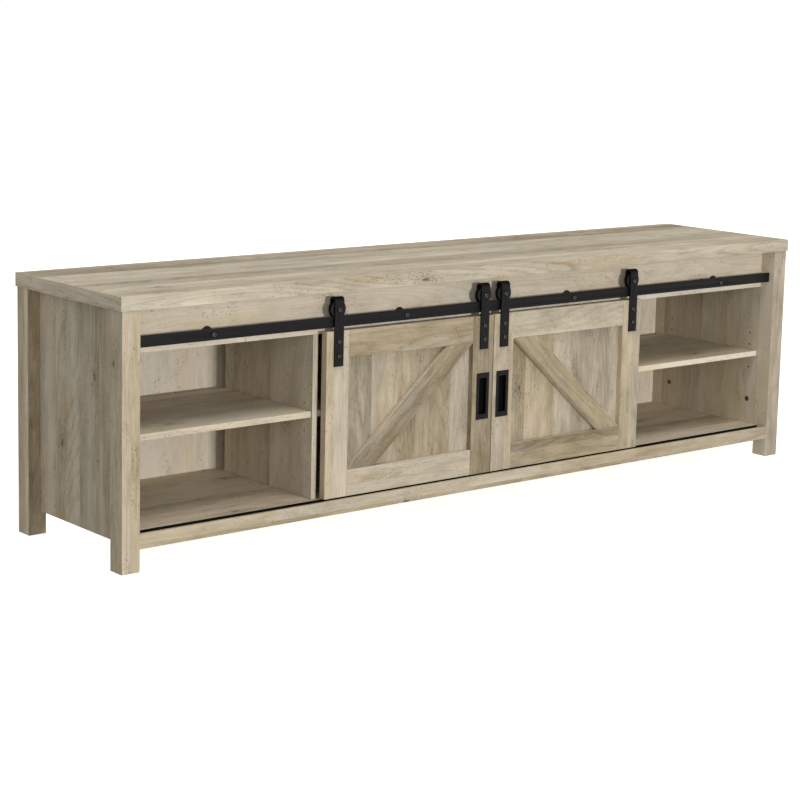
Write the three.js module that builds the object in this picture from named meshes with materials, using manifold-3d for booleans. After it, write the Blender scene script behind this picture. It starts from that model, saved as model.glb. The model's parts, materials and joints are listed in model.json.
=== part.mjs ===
// A low TV stand with open bays at both ends and two sliding barn doors that hang
// from a flat track. Millimetres, +Z up, +X to the right seen from the front,
// front towards -Y. The origin is on the floor under the middle of the top.
import * as THREE from 'three';
import { mergeVertices } from 'three/addons/utils/BufferGeometryUtils.js';
import Module from 'manifold-3d';

const wasm = await Module();
wasm.setup();

// ---- Driving dimensions ------------------------------------------------------

const WIDTH = 1797;
const DEPTH = 381;
const HEIGHT = 508;
const GAP = 0.3; // left between pieces that touch

const SLAB_THICKNESS = 27;
const LEG_WIDTH = 38;
const LEG_DEPTH = 40;
const LEG_INSET_X = 3;
const LEG_INSET_Y = 2;
const BOARD = 12;

const SIDE_BOTTOM_Z = 45.5;
const HEADER_BOTTOM_Z = 396;
const HEADER_FRONT_Y = -149.5;

const DECK_TOP_Z = 70;
const DECK_FRONT_Y = -157;
const DECK_REAR_Y = 178;

const APRON_BOTTOM_Z = 42.5;
const APRON_TOP_Z = 71.2;
const APRON_FRONT_Y = -187;
const APRON_LIP = 7; // thickness of the apron in front of the guide channel
const CHANNEL_WALL = 1.5;
const CHANNEL_TOP_Z = 70.2;

const DIVIDER_OUTER_X = 442.2;
const DIVIDER_FRONT_Y = -149.3;
const DIVIDER_REAR_Y = 146.5;

const SHELF_TOP_Z = 244.8;
const SHELF_FRONT_Y = -147;
const SHELF_REAR_Y = 146.5;
const SHELF_SIDE_GAP = 1;

const PIN_HOLE_RADIUS = 2.5;
const PIN_HOLE_DEPTH = 8;
const PIN_COLUMN_Y = 123.5;
const PIN_PITCH = 27;
const PIN_CENTRE_Z = SHELF_TOP_Z - BOARD - PIN_HOLE_RADIUS;
const PIN_STEPS = [-1, 0, 1, 2];

const BACK_THICKNESS = 3;
const REAR_RAIL_BOTTOM_Z = 430;
const CABLE_HOLE_RADIUS = 25;
const CABLE_HOLE_HEIGHTS = [150, 320];

const TRACK_HALF_LENGTH = 855.5;
const TRACK_FRONT_Y = -175;
const TRACK_THICKNESS = 5;
const TRACK_BOTTOM_Z = 410.5;
const TRACK_HEIGHT = 21;
const TRACK_BOLT_XS = [-690, -230, 230, 690];
const TRACK_HOLE_RADIUS = 3.2;

const DOOR_FRONT_Y = -178;
const DOOR_THICKNESS = 16;
const DOOR_BOTTOM_Z = 73.5;
const DOOR_TOP_Z = 403;
const DOOR_INNER_X = 1;
const DOOR_OUTER_X = 431;
const STILE_WIDTH = 54.5;
const TOP_RAIL_HEIGHT = 54;
const BOTTOM_RAIL_HEIGHT = 52.5;
const DOOR_PANEL_THICKNESS = 4;
const REBATE_WIDTH = 8;
const BRACE_RUN = 68; // width of the brace measured along a rail
const BRACE_SETBACK = 0.4;

const HANGER_WIDTH = 22;
const HANGER_METAL = 3;
const HANGER_FRONT_Y = -181.3;
const HANGER_DEPTH = 17.5;
const HANGER_TOP_Z = 470;
const HANGER_BOTTOM_Z = 334.3;
const HANGER_REAR_BOTTOM_Z = 433;
const HANGER_BEND = 7.5;
const HANGER_XS = { inner: 27.5, outer: 403.5 };
const STRAP_BOLT_ZS = { upper: 383.3, lower: 355.2 };

const WHEEL_ROOT_RADIUS = 13.8;
const WHEEL_FLANGE_RADIUS = 18;
const WHEEL_WIDTH = 10;
const WHEEL_GROOVE = 5.8;
const WHEEL_BORE_RADIUS = 3.4;
const AXLE_RADIUS = 3;
const AXLE_Z = TRACK_BOTTOM_Z + TRACK_HEIGHT + WHEEL_ROOT_RADIUS + GAP;

const PULL_X = 27;
const PULL_Z = 236;
const PULL_WIDTH = 34;
const PULL_HEIGHT = 97;
const PULL_RIM = 1.3; // how far the plate stands proud of the door
const PULL_CUP_WIDTH = 20;
const PULL_CUP_HEIGHT = 76;
const PULL_CUP_DEPTH = 9;
const PULL_WALL = 1.6;

const ROUND_SEGMENTS = 32;
const BOLT_SEGMENTS = 16;

// ---- Worked out from the driving dimensions ----------------------------------

const SLAB_BOTTOM_Z = HEIGHT - SLAB_THICKNESS;
const UNDER_SLAB_Z = SLAB_BOTTOM_Z - GAP;
const LEG_CENTRE_X = WIDTH / 2 - LEG_INSET_X - LEG_WIDTH / 2;
const LEG_CENTRE_Y = DEPTH / 2 - LEG_INSET_Y - LEG_DEPTH / 2;
const INNER_X = LEG_CENTRE_X - LEG_WIDTH / 2; // inner faces of legs and side panels
const LEG_BACK_Y = LEG_CENTRE_Y - LEG_DEPTH / 2;
const DECK_BOTTOM_Z = DECK_TOP_Z - BOARD;
const TRACK_CENTRE_Z = TRACK_BOTTOM_Z + TRACK_HEIGHT / 2;
const TRACK_CENTRE_Y = TRACK_FRONT_Y + TRACK_THICKNESS / 2;
const CHANNEL_FRONT_Y = APRON_FRONT_Y + APRON_LIP + GAP;
const CHANNEL_REAR_Y = DECK_FRONT_Y - GAP;

// ---- Materials ---------------------------------------------------------------

const oak = { color: '#beb096', roughness: 0.62, metalness: 0 };
const darkOak = { color: '#9a8a6e', roughness: 0.66, metalness: 0 };
const blackSteel = { color: '#26252a', roughness: 0.45, metalness: 0.6 };
const blackPlastic = { color: '#101012', roughness: 0.55, metalness: 0 };

// ---- Building blocks ---------------------------------------------------------

const stand = new THREE.Group();

function piece(name, geometry, look, parent = stand) {
  const mesh = new THREE.Mesh(geometry, new THREE.MeshStandardMaterial(look));
  mesh.name = name;
  parent.add(mesh);
  return mesh;
}

function boxFrom(low, high) {
  const size = high.map((value, axis) => value - low[axis]);
  const geometry = new THREE.BoxGeometry(...size);
  geometry.translate(...high.map((value, axis) => (value + low[axis]) / 2));
  return geometry;
}

// A plain board between two corners, centred on its own mesh.
function board(name, low, high, look = oak, parent = stand) {
  const size = high.map((value, axis) => value - low[axis]);
  const mesh = piece(name, new THREE.BoxGeometry(...size), look, parent);
  mesh.position.set(...high.map((value, axis) => (value + low[axis]) / 2));
  return mesh;
}

function polygon(points) {
  return new THREE.Shape(points.map(([x, y]) => new THREE.Vector2(x, y)));
}

function circle(x, y, radius) {
  const path = new THREE.Path();
  path.absarc(x, y, radius, 0, Math.PI * 2);
  return path;
}

function extrude(shape, depth, curveSegments = 12) {
  return new THREE.ExtrudeGeometry(shape, { depth, bevelEnabled: false, curveSegments });
}

// A cylinder along Y between two Y values.
function rodAlongY(radius, y0, y1, x, z) {
  const geometry = new THREE.CylinderGeometry(radius, radius, y1 - y0, 20);
  geometry.translate(x, (y0 + y1) / 2, z);
  return geometry;
}

function rodAlongX(radius, x0, x1, y, z) {
  const geometry = new THREE.CylinderGeometry(radius, radius, x1 - x0, 12);
  geometry.rotateZ(Math.PI / 2);
  geometry.translate((x0 + x1) / 2, y, z);
  return geometry;
}

function lathe(points, segments = ROUND_SEGMENTS) {
  return new THREE.LatheGeometry(points.map(([r, y]) => new THREE.Vector2(r, y)), segments);
}

function solid(geometry) {
  const bare = geometry.clone();
  bare.deleteAttribute('normal');
  bare.deleteAttribute('uv');
  const merged = mergeVertices(bare);
  return new wasm.Manifold(new wasm.Mesh({
    numProp: 3,
    vertProperties: new Float32Array(merged.attributes.position.array),
    triVerts: new Uint32Array(merged.index.array),
  }));
}

function toGeometry(manifold) {
  const mesh = manifold.getMesh();
  const geometry = new THREE.BufferGeometry();
  geometry.setAttribute('position', new THREE.BufferAttribute(mesh.vertProperties, 3));
  geometry.setIndex(new THREE.BufferAttribute(mesh.triVerts, 1));
  geometry.computeVertexNormals();
  return geometry;
}

function cut(geometry, tools) {
  let result = solid(geometry);
  for (const tool of tools) {
    result = result.subtract(solid(tool));
  }
  return toGeometry(result);
}

// ---- Top, legs and side panels -----------------------------------------------

function addTop() {
  const half = [WIDTH / 2, DEPTH / 2];
  board('top_slab', [-half[0], -half[1], SLAB_BOTTOM_Z], [half[0], half[1], HEIGHT]);
}

function addLegs() {
  for (const [end, sideX] of [['left', -1], ['right', 1]]) {
    for (const [row, sideY] of [['front', -1], ['rear', 1]]) {
      const geometry = new THREE.BoxGeometry(LEG_WIDTH, LEG_DEPTH, UNDER_SLAB_Z);
      const leg = piece(`leg_${row}_${end}`, geometry, oak);
      leg.position.set(sideX * LEG_CENTRE_X, sideY * LEG_CENTRE_Y, UNDER_SLAB_Z / 2);
    }
  }
}

// The side panels stand between the legs, flush with their inner faces.
function addSidePanels() {
  const reach = LEG_BACK_Y - GAP;
  for (const [end, side] of [['left', -1], ['right', 1]]) {
    const outer = side * (INNER_X + BOARD);
    const low = [Math.min(side * INNER_X, outer), -reach, SIDE_BOTTOM_Z];
    const high = [Math.max(side * INNER_X, outer), reach, UNDER_SLAB_Z];
    const holeEnds = [side * (INNER_X - 1), side * (INNER_X + PIN_HOLE_DEPTH)].sort((a, b) => a - b);
    const holes = pinHolePlaces().map(([y, z]) => rodAlongX(PIN_HOLE_RADIUS, ...holeEnds, y, z));
    piece(`side_panel_${end}`, cut(boxFrom(low, high), holes), oak);
  }
}

function pinHolePlaces() {
  const places = [];
  for (const y of [-PIN_COLUMN_Y, PIN_COLUMN_Y]) {
    for (const step of PIN_STEPS) {
      places.push([y, PIN_CENTRE_Z + step * PIN_PITCH]);
    }
  }
  return places;
}

// ---- Rails, deck and back ----------------------------------------------------

function addHeader() {
  const reach = INNER_X - GAP;
  const shape = polygon([
    [-reach, HEADER_BOTTOM_Z], [reach, HEADER_BOTTOM_Z],
    [reach, UNDER_SLAB_Z], [-reach, UNDER_SLAB_Z],
  ]);
  for (const x of TRACK_BOLT_XS) {
    shape.holes.push(circle(x, TRACK_CENTRE_Z, TRACK_HOLE_RADIUS));
  }
  const header = piece('header_rail', extrude(shape, BOARD), oak);
  header.rotation.x = Math.PI / 2;
  header.position.y = HEADER_FRONT_Y + BOARD;
}

// The apron is rebated at the top of its back, where the guide channel sits.
function addApron() {
  const back = APRON_FRONT_Y + BOARD;
  const lipBack = APRON_FRONT_Y + APRON_LIP;
  const shape = polygon([
    [APRON_FRONT_Y, APRON_BOTTOM_Z], [back, APRON_BOTTOM_Z], [back, DECK_BOTTOM_Z],
    [lipBack, DECK_BOTTOM_Z], [lipBack, APRON_TOP_Z], [APRON_FRONT_Y, APRON_TOP_Z],
  ]);
  const reach = INNER_X - GAP;
  const apron = piece('apron', extrude(shape, 2 * reach), oak);
  apron.rotation.set(Math.PI / 2, Math.PI / 2, 0);
  apron.position.x = -reach;
}

// An open-topped U that the pins under the doors run in.
function addGuideChannel() {
  const floor = DECK_BOTTOM_Z + GAP;
  const shape = polygon([
    [CHANNEL_FRONT_Y, floor], [CHANNEL_REAR_Y, floor],
    [CHANNEL_REAR_Y, DECK_TOP_Z - GAP], [CHANNEL_REAR_Y - CHANNEL_WALL, DECK_TOP_Z - GAP],
    [CHANNEL_REAR_Y - CHANNEL_WALL, floor + CHANNEL_WALL],
    [CHANNEL_FRONT_Y + CHANNEL_WALL, floor + CHANNEL_WALL],
    [CHANNEL_FRONT_Y + CHANNEL_WALL, CHANNEL_TOP_Z], [CHANNEL_FRONT_Y, CHANNEL_TOP_Z],
  ]);
  const reach = INNER_X - GAP;
  const channel = piece('guide_channel', extrude(shape, 2 * reach), blackPlastic);
  channel.rotation.set(Math.PI / 2, Math.PI / 2, 0);
  channel.position.x = -reach;
}

function addDeck() {
  const reach = INNER_X - GAP;
  board('bottom_panel', [-reach, DECK_FRONT_Y, DECK_BOTTOM_Z], [reach, DECK_REAR_Y, DECK_TOP_Z]);
}

// The dividers are notched at the top of the front edge to pass behind the header.
function addDividers() {
  const notchY = HEADER_FRONT_Y + BOARD + GAP;
  const notchZ = HEADER_BOTTOM_Z - GAP;
  const shape = polygon([
    [DIVIDER_FRONT_Y, DECK_TOP_Z + GAP], [DIVIDER_REAR_Y, DECK_TOP_Z + GAP],
    [DIVIDER_REAR_Y, UNDER_SLAB_Z], [notchY, UNDER_SLAB_Z],
    [notchY, notchZ], [DIVIDER_FRONT_Y, notchZ],
  ]);
  for (const [y, z] of pinHolePlaces()) {
    shape.holes.push(circle(y, z, PIN_HOLE_RADIUS));
  }
  for (const [end, startX] of [['left', -DIVIDER_OUTER_X], ['right', DIVIDER_OUTER_X - BOARD]]) {
    const divider = piece(`divider_${end}`, extrude(shape, BOARD, 6), oak);
    divider.rotation.set(Math.PI / 2, Math.PI / 2, 0);
    divider.position.x = startX;
  }
}

function addShelves() {
  const low = SHELF_TOP_Z - BOARD;
  const spans = {
    left: [-INNER_X, -DIVIDER_OUTER_X],
    centre: [BOARD - DIVIDER_OUTER_X, DIVIDER_OUTER_X - BOARD],
    right: [DIVIDER_OUTER_X, INNER_X],
  };
  for (const [bay, [x0, x1]] of Object.entries(spans)) {
    const from = [x0 + SHELF_SIDE_GAP, SHELF_FRONT_Y, low];
    const to = [x1 - SHELF_SIDE_GAP, SHELF_REAR_Y, SHELF_TOP_Z];
    board(`shelf_${bay}`, from, to);
  }
}

function addBack() {
  const reach = INNER_X - GAP;
  const frontY = DECK_REAR_Y + GAP;
  const shape = polygon([
    [-reach, DECK_BOTTOM_Z], [reach, DECK_BOTTOM_Z], [reach, UNDER_SLAB_Z], [-reach, UNDER_SLAB_Z],
  ]);
  for (const z of CABLE_HOLE_HEIGHTS) {
    shape.holes.push(circle(0, z, CABLE_HOLE_RADIUS));
  }
  const back = piece('back_panel', extrude(shape, BACK_THICKNESS), darkOak);
  back.rotation.x = Math.PI / 2;
  back.position.y = frontY + BACK_THICKNESS;
  const railFront = DECK_REAR_Y - BOARD;
  board('rear_rail', [-reach, railFront, REAR_RAIL_BOTTOM_Z], [reach, DECK_REAR_Y, UNDER_SLAB_Z]);
}

// A support under the middle of the long deck, with a pad on the floor.
function addCentreFoot() {
  const top = DECK_BOTTOM_Z - GAP;
  const pad = { radius: 22, height: 8 };
  const stem = 15;
  const flange = { radius: 30, height: 3 };
  const foot = piece('centre_foot', lathe([
    [0, 0], [pad.radius, 0], [pad.radius, pad.height], [stem, pad.height],
    [stem, top - flange.height], [flange.radius, top - flange.height],
    [flange.radius, top], [0, top],
  ]), blackPlastic);
  foot.rotation.x = Math.PI / 2;
}

// ---- Track -------------------------------------------------------------------

function addTrack() {
  const shape = polygon([
    [-TRACK_HALF_LENGTH, TRACK_BOTTOM_Z], [TRACK_HALF_LENGTH, TRACK_BOTTOM_Z],
    [TRACK_HALF_LENGTH, TRACK_BOTTOM_Z + TRACK_HEIGHT],
    [-TRACK_HALF_LENGTH, TRACK_BOTTOM_Z + TRACK_HEIGHT],
  ]);
  for (const x of TRACK_BOLT_XS) {
    shape.holes.push(circle(x, TRACK_CENTRE_Z, TRACK_HOLE_RADIUS));
  }
  const bar = piece('track_bar', extrude(shape, TRACK_THICKNESS), blackSteel);
  bar.rotation.x = Math.PI / 2;
  bar.position.y = TRACK_FRONT_Y + TRACK_THICKNESS;
}

// Each standoff is one turned part: button head, shank through the bar, sleeve,
// flange against the header, and the screw end inside the header.
function addStandoffs() {
  const headFront = TRACK_FRONT_Y - 2.2;
  const barBack = TRACK_FRONT_Y + TRACK_THICKNESS;
  const flangeBack = HEADER_FRONT_Y - GAP;
  const shank = 2.8;
  const head = 5;
  const sleeve = 5.5;
  const flange = { radius: 12.5, height: 2.5 };
  const profile = [
    [0, headFront], [head - 1.2, headFront], [head, headFront + 1], [head, TRACK_FRONT_Y - GAP],
    [shank, TRACK_FRONT_Y - GAP], [shank, barBack + GAP],
    [sleeve, barBack + GAP], [sleeve, flangeBack - flange.height],
    [flange.radius, flangeBack - flange.height], [flange.radius, flangeBack],
    [shank, flangeBack], [shank, HEADER_FRONT_Y + BOARD - 2], [0, HEADER_FRONT_Y + BOARD - 2],
  ];
  TRACK_BOLT_XS.forEach((x, index) => {
    const standoff = piece(`track_standoff_${index + 1}`, lathe(profile), blackSteel);
    standoff.position.set(x, 0, TRACK_CENTRE_Z);
  });
}

// ---- Doors -------------------------------------------------------------------

// A door's pieces are drawn by distance from the middle of the stand, then put on
// the side they belong to.
function onSide(side, low, high) {
  const xs = [side * low[0], side * high[0]].sort((a, b) => a - b);
  return [[xs[0], low[1], low[2]], [xs[1], high[1], high[2]]];
}

function addDoor(end, side) {
  const y0 = DOOR_FRONT_Y;
  const y1 = DOOR_FRONT_Y + DOOR_THICKNESS;
  const innerEdge = DOOR_INNER_X + STILE_WIDTH;
  const outerEdge = DOOR_OUTER_X - STILE_WIDTH;
  const railBottom = DOOR_TOP_Z - TOP_RAIL_HEIGHT;
  const railTop = DOOR_BOTTOM_Z + BOTTOM_RAIL_HEIGHT;
  const rebateY = y1 - DOOR_PANEL_THICKNESS - GAP;
  const panelBack = y1 - GAP;
  const box = (low, high) => boxFrom(...onSide(side, low, high));

  const rebate = box(
    [innerEdge - REBATE_WIDTH, rebateY, railTop - REBATE_WIDTH],
    [outerEdge + REBATE_WIDTH, y1 + 1, railBottom + REBATE_WIDTH],
  );

  const boltHoles = (x) => Object.values(STRAP_BOLT_ZS).map(
    (z) => rodAlongY(2.8, y0 - 1, y1 + 1, side * x, z),
  );
  const wall = PULL_WALL + GAP;
  const pullPocket = box(
    [PULL_X - PULL_CUP_WIDTH / 2 - wall, y0 - 1, PULL_Z - PULL_CUP_HEIGHT / 2 - wall],
    [
      PULL_X + PULL_CUP_WIDTH / 2 + wall,
      y0 - PULL_RIM + PULL_CUP_DEPTH + wall,
      PULL_Z + PULL_CUP_HEIGHT / 2 + wall,
    ],
  );

  const innerStile = box([DOOR_INNER_X, y0, DOOR_BOTTOM_Z], [innerEdge, y1, DOOR_TOP_Z]);
  const outerStile = box([outerEdge, y0, DOOR_BOTTOM_Z], [DOOR_OUTER_X, y1, DOOR_TOP_Z]);
  const innerCuts = [rebate, pullPocket, ...boltHoles(HANGER_XS.inner)];
  const outerCuts = [rebate, ...boltHoles(HANGER_XS.outer)];
  piece(`door_${end}_stile_inner`, cut(innerStile, innerCuts), oak);
  piece(`door_${end}_stile_outer`, cut(outerStile, outerCuts), oak);

  const railX = [innerEdge + GAP, outerEdge - GAP];
  const topRail = box([railX[0], y0, railBottom], [railX[1], y1, DOOR_TOP_Z]);
  const bottomRail = box([railX[0], y0, DOOR_BOTTOM_Z], [railX[1], y1, railTop]);
  piece(`door_${end}_rail_top`, cut(topRail, [rebate]), oak);
  piece(`door_${end}_rail_bottom`, cut(bottomRail, [rebate]), oak);

  const tongue = REBATE_WIDTH - GAP;
  const [panelLow, panelHigh] = onSide(
    side,
    [innerEdge - tongue, rebateY + GAP, railTop - tongue],
    [outerEdge + tongue, panelBack, railBottom + tongue],
  );
  board(`door_${end}_panel`, panelLow, panelHigh);

  // The brace falls from the top inner corner of the frame to the bottom outer one.
  const braceTop = railBottom - GAP;
  const braceBottom = railTop + GAP;
  const shape = polygon([
    [side * railX[0], braceTop], [side * (railX[0] + BRACE_RUN), braceTop],
    [side * railX[1], braceBottom], [side * (railX[1] - BRACE_RUN), braceBottom],
  ]);
  const braceFront = y0 + BRACE_SETBACK;
  const brace = piece(`door_${end}_brace`, extrude(shape, rebateY - braceFront), oak);
  brace.rotation.x = Math.PI / 2;
  brace.position.y = rebateY;

  addPull(end, side);
  addDoorGuide(end, side);
}

// A flush pull: a flat plate round a cup that is let into the door.
function addPull(end, side) {
  const plate = boxFrom(
    [-PULL_WIDTH / 2, -PULL_RIM, -PULL_HEIGHT / 2],
    [PULL_WIDTH / 2, -GAP, PULL_HEIGHT / 2],
  );
  const halfWidth = PULL_CUP_WIDTH / 2;
  const halfHeight = PULL_CUP_HEIGHT / 2;
  const cupBack = PULL_CUP_DEPTH - PULL_RIM;
  const cup = boxFrom(
    [-halfWidth - PULL_WALL, -PULL_RIM, -halfHeight - PULL_WALL],
    [halfWidth + PULL_WALL, cupBack + PULL_WALL, halfHeight + PULL_WALL],
  );
  const hollow = boxFrom(
    [-halfWidth, -PULL_RIM - 1, -halfHeight],
    [halfWidth, cupBack, halfHeight],
  );
  const body = solid(plate).add(solid(cup)).subtract(solid(hollow));
  const pull = piece(`pull_${end}`, toGeometry(body), blackSteel);
  pull.position.set(side * PULL_X, DOOR_FRONT_Y, PULL_Z);
}

// A nylon button on a stem under the door, running in the guide channel.
function addDoorGuide(end, side) {
  const top = DOOR_BOTTOM_Z - GAP;
  const stem = 3;
  const button = { radius: 7, low: 62, high: 69 };
  const guide = piece(`door_${end}_guide`, lathe([
    [0, button.low], [button.radius, button.low], [button.radius, button.high],
    [stem, button.high], [stem, top], [0, top],
  ]), blackPlastic);
  guide.rotation.x = Math.PI / 2;
  const x = side * (DOOR_INNER_X + DOOR_OUTER_X) / 2;
  guide.position.set(x, (CHANNEL_FRONT_Y + CHANNEL_REAR_Y) / 2, 0);
}

// ---- Hangers, wheels and their bolts -----------------------------------------

// The strap seen from its side: up the door's face, over the wheel, down behind it.
function hangerShape() {
  const front = HANGER_FRONT_Y;
  const back = HANGER_FRONT_Y + HANGER_DEPTH;
  const inside = HANGER_BEND - HANGER_METAL;
  const shape = new THREE.Shape();
  shape.moveTo(front, HANGER_BOTTOM_Z);
  shape.lineTo(front + HANGER_METAL, HANGER_BOTTOM_Z);
  shape.lineTo(front + HANGER_METAL, HANGER_TOP_Z - HANGER_BEND);
  shape.absarc(front + HANGER_BEND, HANGER_TOP_Z - HANGER_BEND, inside, Math.PI, Math.PI / 2, true);
  shape.lineTo(back - HANGER_BEND, HANGER_TOP_Z - HANGER_METAL);
  shape.absarc(back - HANGER_BEND, HANGER_TOP_Z - HANGER_BEND, inside, Math.PI / 2, 0, true);
  shape.lineTo(back - HANGER_METAL, HANGER_REAR_BOTTOM_Z);
  shape.lineTo(back, HANGER_REAR_BOTTOM_Z);
  shape.lineTo(back, HANGER_TOP_Z - HANGER_BEND);
  shape.absarc(back - HANGER_BEND, HANGER_TOP_Z - HANGER_BEND, HANGER_BEND, 0, Math.PI / 2);
  shape.lineTo(front + HANGER_BEND, HANGER_TOP_Z);
  shape.absarc(
    front + HANGER_BEND, HANGER_TOP_Z - HANGER_BEND, HANGER_BEND, Math.PI / 2, Math.PI,
  );
  return shape;
}

// Drawn in the YZ plane, then turned to run along X, centred on x = 0.
function hangerGeometry() {
  const strap = extrude(hangerShape(), HANGER_WIDTH, 6);
  strap.translate(0, 0, -HANGER_WIDTH / 2);
  strap.rotateY(Math.PI / 2);
  strap.rotateX(Math.PI / 2);
  const back = HANGER_FRONT_Y + HANGER_DEPTH;
  const holes = [rodAlongY(AXLE_RADIUS + GAP, HANGER_FRONT_Y - 1, back + 1, 0, AXLE_Z)];
  for (const z of Object.values(STRAP_BOLT_ZS)) {
    const holeBack = HANGER_FRONT_Y + HANGER_METAL + 1;
    holes.push(rodAlongY(2.8, HANGER_FRONT_Y - 1, holeBack, 0, z));
  }
  return cut(strap, holes);
}

function wheelGeometry() {
  const half = WHEEL_WIDTH / 2;
  const groove = WHEEL_GROOVE / 2;
  return lathe([
    [WHEEL_BORE_RADIUS, -half], [WHEEL_FLANGE_RADIUS - 0.8, -half],
    [WHEEL_FLANGE_RADIUS, -half + 0.6], [WHEEL_FLANGE_RADIUS, -groove - 0.5],
    [WHEEL_ROOT_RADIUS, -groove], [WHEEL_ROOT_RADIUS, groove],
    [WHEEL_FLANGE_RADIUS, groove + 0.5], [WHEEL_FLANGE_RADIUS, half - 0.6],
    [WHEEL_FLANGE_RADIUS - 0.8, half], [WHEEL_BORE_RADIUS, half],
    [WHEEL_BORE_RADIUS, -half],
  ]);
}

// A bolt along Y with a low button head in front and a nut behind.
function boltGeometry({ shank, head, headFront, gripFront, gripBack, nutBack }) {
  return lathe([
    [0, headFront], [head - 1.2, headFront], [head, headFront + 1], [head, gripFront],
    [shank, gripFront], [shank, gripBack], [head, gripBack], [head, nutBack], [0, nutBack],
  ], BOLT_SEGMENTS);
}

function addHangerSet(end, side, place) {
  const x = side * HANGER_XS[place];
  const label = `${end}_${place}`;
  piece(`hanger_${label}`, hangerGeometry(), blackSteel).position.x = x;
  piece(`wheel_${label}`, wheelGeometry(), blackPlastic).position.set(x, TRACK_CENTRE_Y, AXLE_Z);

  const strapBack = HANGER_FRONT_Y + HANGER_DEPTH;
  const axle = boltGeometry({
    shank: AXLE_RADIUS,
    head: 5,
    headFront: HANGER_FRONT_Y - 2.6,
    gripFront: HANGER_FRONT_Y - GAP,
    gripBack: strapBack + GAP,
    nutBack: strapBack + 4,
  });
  piece(`axle_bolt_${label}`, axle, blackSteel).position.set(x, 0, AXLE_Z);

  const doorBack = DOOR_FRONT_Y + DOOR_THICKNESS;
  for (const [level, z] of Object.entries(STRAP_BOLT_ZS)) {
    const bolt = boltGeometry({
      shank: 2.5,
      head: 4.6,
      headFront: HANGER_FRONT_Y - 2.4,
      gripFront: HANGER_FRONT_Y - GAP,
      gripBack: doorBack + GAP,
      nutBack: doorBack + 2.5,
    });
    piece(`strap_bolt_${label}_${level}`, bolt, blackSteel).position.set(x, 0, z);
  }
}

// ---- Assembly ----------------------------------------------------------------

addTop();
addLegs();
addSidePanels();
addHeader();
addApron();
addGuideChannel();
addDeck();
addDividers();
addShelves();
addBack();
addCentreFoot();
addTrack();
addStandoffs();
for (const [end, side] of [['left', -1], ['right', 1]]) {
  addDoor(end, side);
  for (const place of Object.keys(HANGER_XS)) {
    addHangerSet(end, side, place);
  }
}

export default stand;
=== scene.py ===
import json
import math
import random

import bmesh
import bpy
from mathutils import Matrix, Vector


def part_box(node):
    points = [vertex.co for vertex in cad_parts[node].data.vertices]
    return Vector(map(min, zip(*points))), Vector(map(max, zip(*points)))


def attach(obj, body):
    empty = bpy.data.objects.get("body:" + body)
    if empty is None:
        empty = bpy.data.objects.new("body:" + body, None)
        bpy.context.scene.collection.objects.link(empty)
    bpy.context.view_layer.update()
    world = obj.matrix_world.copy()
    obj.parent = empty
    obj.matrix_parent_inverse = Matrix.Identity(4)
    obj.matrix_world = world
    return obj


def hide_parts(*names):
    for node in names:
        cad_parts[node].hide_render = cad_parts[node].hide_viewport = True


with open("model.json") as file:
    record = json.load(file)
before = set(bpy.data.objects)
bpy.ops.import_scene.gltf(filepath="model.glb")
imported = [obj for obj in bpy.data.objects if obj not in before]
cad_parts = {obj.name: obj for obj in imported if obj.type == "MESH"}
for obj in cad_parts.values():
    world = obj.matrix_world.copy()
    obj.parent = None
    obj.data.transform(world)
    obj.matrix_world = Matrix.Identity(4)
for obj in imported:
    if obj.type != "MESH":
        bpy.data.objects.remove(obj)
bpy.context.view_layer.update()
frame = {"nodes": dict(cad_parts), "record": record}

RECORD = frame["record"]
BODY_OF = {node: body for body, nodes in RECORD["behaviour"]["bodies"].items() for node in nodes}
SLOT_OF = {row["node"]: row["material_slot"] for row in RECORD["subparts"]}
MM = 0.001


# ---- Camera ------------------------------------------------------------------

# A long lens from the front left, a little above the top. The slight roll and the
# small shift stand in for the straightened uprights of a catalogue picture.
CAMERA_PLACE = Vector((-2.801, -3.262, 1.039))
CAMERA_YAW = math.radians(39.59)
CAMERA_PITCH = math.radians(8.90)
CAMERA_ROLL = math.radians(1.3)
FOCAL_PIXELS = 2055.0
PICTURE_PIXELS = 800.0
SENSOR_MM = 36.0
CAMERA_SHIFT = -0.1
CAMERA_REACH = 100.0


def add_camera():
    data = bpy.data.cameras.new("camera")
    data.sensor_width = SENSOR_MM
    data.lens = FOCAL_PIXELS * SENSOR_MM / PICTURE_PIXELS
    data.shift_y = CAMERA_SHIFT
    data.dof.use_dof = False
    data.clip_end = CAMERA_REACH
    camera = bpy.data.objects.new("camera", data)
    bpy.context.scene.collection.objects.link(camera)
    sin_y, cos_y = math.sin(CAMERA_YAW), math.cos(CAMERA_YAW)
    sin_p, cos_p = math.sin(CAMERA_PITCH), math.cos(CAMERA_PITCH)
    right = Vector((cos_y, -sin_y, 0.0))
    ahead = Vector((sin_y * cos_p, cos_y * cos_p, -sin_p))
    up = right.cross(ahead)
    x_axis = right * math.cos(CAMERA_ROLL) + up * math.sin(CAMERA_ROLL)
    y_axis = up * math.cos(CAMERA_ROLL) - right * math.sin(CAMERA_ROLL)
    turn = Matrix((x_axis, y_axis, -ahead)).transposed().to_4x4()
    camera.matrix_world = Matrix.Translation(CAMERA_PLACE) @ turn
    bpy.context.scene.camera = camera


# ---- Node graphs -------------------------------------------------------------

def linear(red, green, blue):
    """An sRGB colour given as 0 to 255, as Blender's linear RGBA."""
    def one(value):
        value /= 255.0
        return value / 12.92 if value <= 0.04045 else ((value + 0.055) / 1.055) ** 2.4
    return one(red), one(green), one(blue), 1.0


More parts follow.
